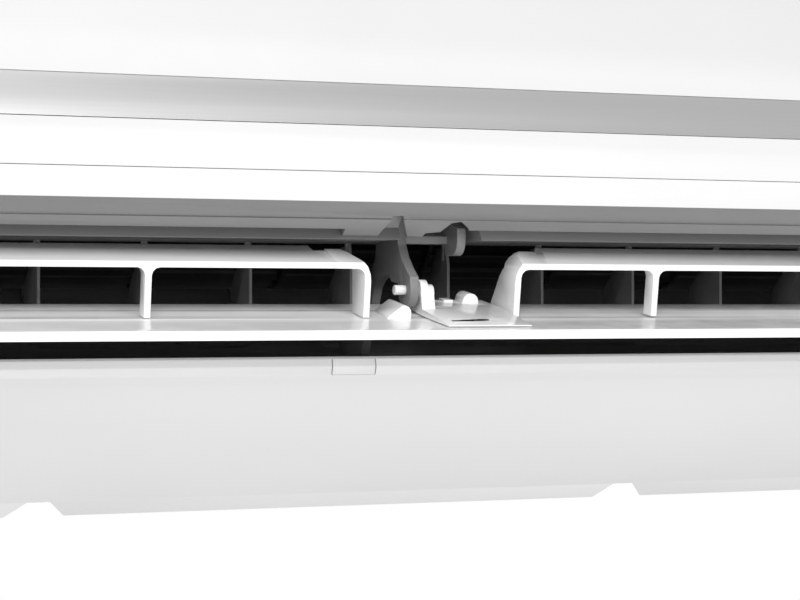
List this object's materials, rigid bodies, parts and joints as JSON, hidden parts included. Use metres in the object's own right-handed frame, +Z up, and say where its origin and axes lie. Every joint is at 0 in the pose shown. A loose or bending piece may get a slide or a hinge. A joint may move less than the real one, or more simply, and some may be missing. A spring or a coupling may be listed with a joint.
{
  "type": "mini split indoor unit",
  "caption": "Wall-hung indoor unit of a split air conditioner, with hinged front panel, swinging louver, guide vanes on a link, cross-flow fan, coil and filters.",
  "frame": {"origin": "middle of the back face of the wall plate, which lies on the wall", "axes": "+X along the unit to its right end as seen from the room, +Y into the wall, +Z up"},
  "size_m": [0.8, 0.2, 0.2941],
  "materials": {
    "white_case": "fine-grained white plastic with a soft sheen",
    "white_louver": "smooth white plastic, a little glossier than the case",
    "silver_strip": "satin silver film on a plastic strip",
    "grey_plastic": "dark grey moulded plastic",
    "dark_plastic": "near-black moulded plastic",
    "filter_net": "dark grey moulded frame with fine net",
    "coil_fins": "bare fins, matt",
    "plated_steel": "zinc-plated sheet",
    "copper": "drawn copper tube, slightly dulled",
    "brass": "turned brass",
    "rubber": "matt black rubber",
    "circuit_board": "green laminate with parts"
  },
  "bodies": {
    "unit": {"wall_plate": "plated_steel", "rear_chassis": "grey_plastic", "outlet_bar": "grey_plastic", "front_frame": "white_case", "bottom_cover": "white_case", "screw_cap_centre": "white_case", "screw_cap_left": "white_case", "screw_cap_right": "white_case", "drain_pan": "grey_plastic", "drain_plug": "rubber", "coil_front": "coil_fins", "coil_top": "coil_fins", "coil_rear": "coil_fins", "coil_plate_left": "plated_steel", "coil_plate_right": "plated_steel", "gas_pipe": "copper", "liquid_pipe": "copper", "flare_nut_gas": "brass", "flare_nut_liquid": "brass", "fan_bearing": "rubber", "bearing_holder": "grey_plastic", "fan_motor": "plated_steel", "motor_clamp": "grey_plastic", "electrical_box": "white_case", "electrical_cover": "plated_steel", "control_board": "circuit_board", "terminal_block": "dark_plastic", "display_board": "circuit_board", "louver_bush": "dark_plastic", "louver_motor": "white_case", "centre_strut": "grey_plastic", "strut_hook": "grey_plastic"},
    "fan": {"cross_flow_fan": "dark_plastic", "fan_stub_shaft": "plated_steel", "motor_shaft": "plated_steel"},
    "panel": {"front_panel": "white_case", "trim_strip": "silver_strip"},
    "filter_left": {"filter_left": "filter_net"},
    "filter_right": {"filter_right": "filter_net"},
    "louver": {"louver_blade": "white_louver", "deflector_left": "white_louver", "deflector_right": "white_louver", "louver_clip": "white_louver", "louver_pin": "white_louver"},
    "button": {"emergency_button": "white_case"},
    "link_left": {"vane_link_left": "grey_plastic"},
    "link_right": {"vane_link_right": "grey_plastic"},
    "vane_left_1": {"vane_left_1": "grey_plastic"},
    "vane_left_2": {"vane_left_2": "grey_plastic"},
    "vane_left_3": {"vane_left_3": "grey_plastic"},
    "vane_left_4": {"vane_left_4": "grey_plastic"},
    "vane_left_5": {"vane_left_5": "grey_plastic"},
    "vane_left_6": {"vane_left_6": "grey_plastic"},
    "vane_left_7": {"vane_left_7": "grey_plastic"},
    "vane_right_1": {"vane_right_1": "grey_plastic"},
    "vane_right_2": {"vane_right_2": "grey_plastic"},
    "vane_right_3": {"vane_right_3": "grey_plastic"},
    "vane_right_4": {"vane_right_4": "grey_plastic"},
    "vane_right_5": {"vane_right_5": "grey_plastic"},
    "vane_right_6": {"vane_right_6": "grey_plastic"}
  },
  "joints": [
    {"name": "fan_spin", "type": "hinge", "parent": "unit", "child": "fan", "pos_m": [0, -0.082, -0.02], "axis": [1, 0, 0], "continuous": true},
    {"name": "panel_open", "type": "hinge", "parent": "unit", "child": "panel", "pos_m": [0, -0.1876, 0.1175], "axis": [-1, 0, 0], "range_deg": [0, 60]},
    {"name": "louver_swing", "type": "hinge", "parent": "unit", "child": "louver", "pos_m": [0, -0.1293, -0.11], "axis": [1, 0, 0], "range_deg": [-69, 8]},
    {"name": "filter_left_slide", "type": "slide", "parent": "unit", "child": "filter_left", "axis": [0, 0, 1], "range_m": [0, 0.17]},
    {"name": "filter_right_slide", "type": "slide", "parent": "unit", "child": "filter_right", "axis": [0, 0, 1], "range_m": [0, 0.17]},
    {"name": "button_press", "type": "slide", "parent": "unit", "child": "button", "axis": [0, 1, 0], "range_m": [0, 0.0015], "stiffness_N_per_m": 150},
    {"name": "vane_left_1_swing", "type": "hinge", "parent": "unit", "child": "vane_left_1", "pos_m": [-0.023, -0.09938, -0.08774], "axis": [0, -0.5736, 0.8192], "range_deg": [-25, 25]},
    {"name": "vane_left_2_swing", "type": "hinge", "parent": "unit", "child": "vane_left_2", "pos_m": [-0.069, -0.09938, -0.08774], "axis": [0, -0.5736, 0.8192], "range_deg": [-25, 25]},
    {"name": "vane_left_3_swing", "type": "hinge", "parent": "unit", "child": "vane_left_3", "pos_m": [-0.115, -0.09938, -0.08774], "axis": [0, -0.5736, 0.8192], "range_deg": [-25, 25]},
    {"name": "vane_left_4_swing", "type": "hinge", "parent": "unit", "child": "vane_left_4", "pos_m": [-0.161, -0.09938, -0.08774], "axis": [0, -0.5736, 0.8192], "range_deg": [-25, 25]},
    {"name": "vane_left_5_swing", "type": "hinge", "parent": "unit", "child": "vane_left_5", "pos_m": [-0.207, -0.09938, -0.08774], "axis": [0, -0.5736, 0.8192], "range_deg": [-25, 25]},
    {"name": "vane_left_6_swing", "type": "hinge", "parent": "unit", "child": "vane_left_6", "pos_m": [-0.253, -0.09938, -0.08774], "axis": [0, -0.5736, 0.8192], "range_deg": [-25, 25]},
    {"name": "vane_left_7_swing", "type": "hinge", "parent": "unit", "child": "vane_left_7", "pos_m": [-0.299, -0.09938, -0.08774], "axis": [0, -0.5736, 0.8192], "range_deg": [-25, 25]},
    {"name": "link_left_pivot", "type": "hinge", "parent": "vane_left_4", "child": "link_left", "pos_m": [-0.161, -0.07153, -0.09266], "axis": [0, -0.5736, 0.8192], "range_deg": [-25, 25]},
    {"name": "vane_right_1_swing", "type": "hinge", "parent": "unit", "child": "vane_right_1", "pos_m": [0.023, -0.09938, -0.08774], "axis": [0, -0.5736, 0.8192], "range_deg": [-25, 25]},
    {"name": "vane_right_2_swing", "type": "hinge", "parent": "unit", "child": "vane_right_2", "pos_m": [0.069, -0.09938, -0.08774], "axis": [0, -0.5736, 0.8192], "range_deg": [-25, 25]},
    {"name": "vane_right_3_swing", "type": "hinge", "parent": "unit", "child": "vane_right_3", "pos_m": [0.115, -0.09938, -0.08774], "axis": [0, -0.5736, 0.8192], "range_deg": [-25, 25]},
    {"name": "vane_right_4_swing", "type": "hinge", "parent": "unit", "child": "vane_right_4", "pos_m": [0.161, -0.09938, -0.08774], "axis": [0, -0.5736, 0.8192], "range_deg": [-25, 25]},
    {"name": "vane_right_5_swing", "type": "hinge", "parent": "unit", "child": "vane_right_5", "pos_m": [0.207, -0.09938, -0.08774], "axis": [0, -0.5736, 0.8192], "range_deg": [-25, 25]},
    {"name": "vane_right_6_swing", "type": "hinge", "parent": "unit", "child": "vane_right_6", "pos_m": [0.253, -0.09938, -0.08774], "axis": [0, -0.5736, 0.8192], "range_deg": [-25, 25]},
    {"name": "link_right_pivot", "type": "hinge", "parent": "vane_right_3", "child": "link_right", "pos_m": [0.115, -0.07153, -0.09266], "axis": [0, -0.5736, 0.8192], "range_deg": [-25, 25]}
  ],
  "couplings": [
    {"joint": "vane_left_1_swing", "follows": "vane_left_4_swing", "ratio": 1},
    {"joint": "vane_left_2_swing", "follows": "vane_left_4_swing", "ratio": 1},
    {"joint": "vane_left_3_swing", "follows": "vane_left_4_swing", "ratio": 1},
    {"joint": "vane_left_5_swing", "follows": "vane_left_4_swing", "ratio": 1},
    {"joint": "vane_left_6_swing", "follows": "vane_left_4_swing", "ratio": 1},
    {"joint": "vane_left_7_swing", "follows": "vane_left_4_swing", "ratio": 1},
    {"joint": "link_left_pivot", "follows": "vane_left_4_swing", "ratio": -1},
    {"joint": "vane_right_1_swing", "follows": "vane_right_3_swing", "ratio": 1},
    {"joint": "vane_right_2_swing", "follows": "vane_right_3_swing", "ratio": 1},
    {"joint": "vane_right_4_swing", "follows": "vane_right_3_swing", "ratio": 1},
    {"joint": "vane_right_5_swing", "follows": "vane_right_3_swing", "ratio": 1},
    {"joint": "vane_right_6_swing", "follows": "vane_right_3_swing", "ratio": 1},
    {"joint": "link_right_pivot", "follows": "vane_right_3_swing", "ratio": -1}
  ]
}
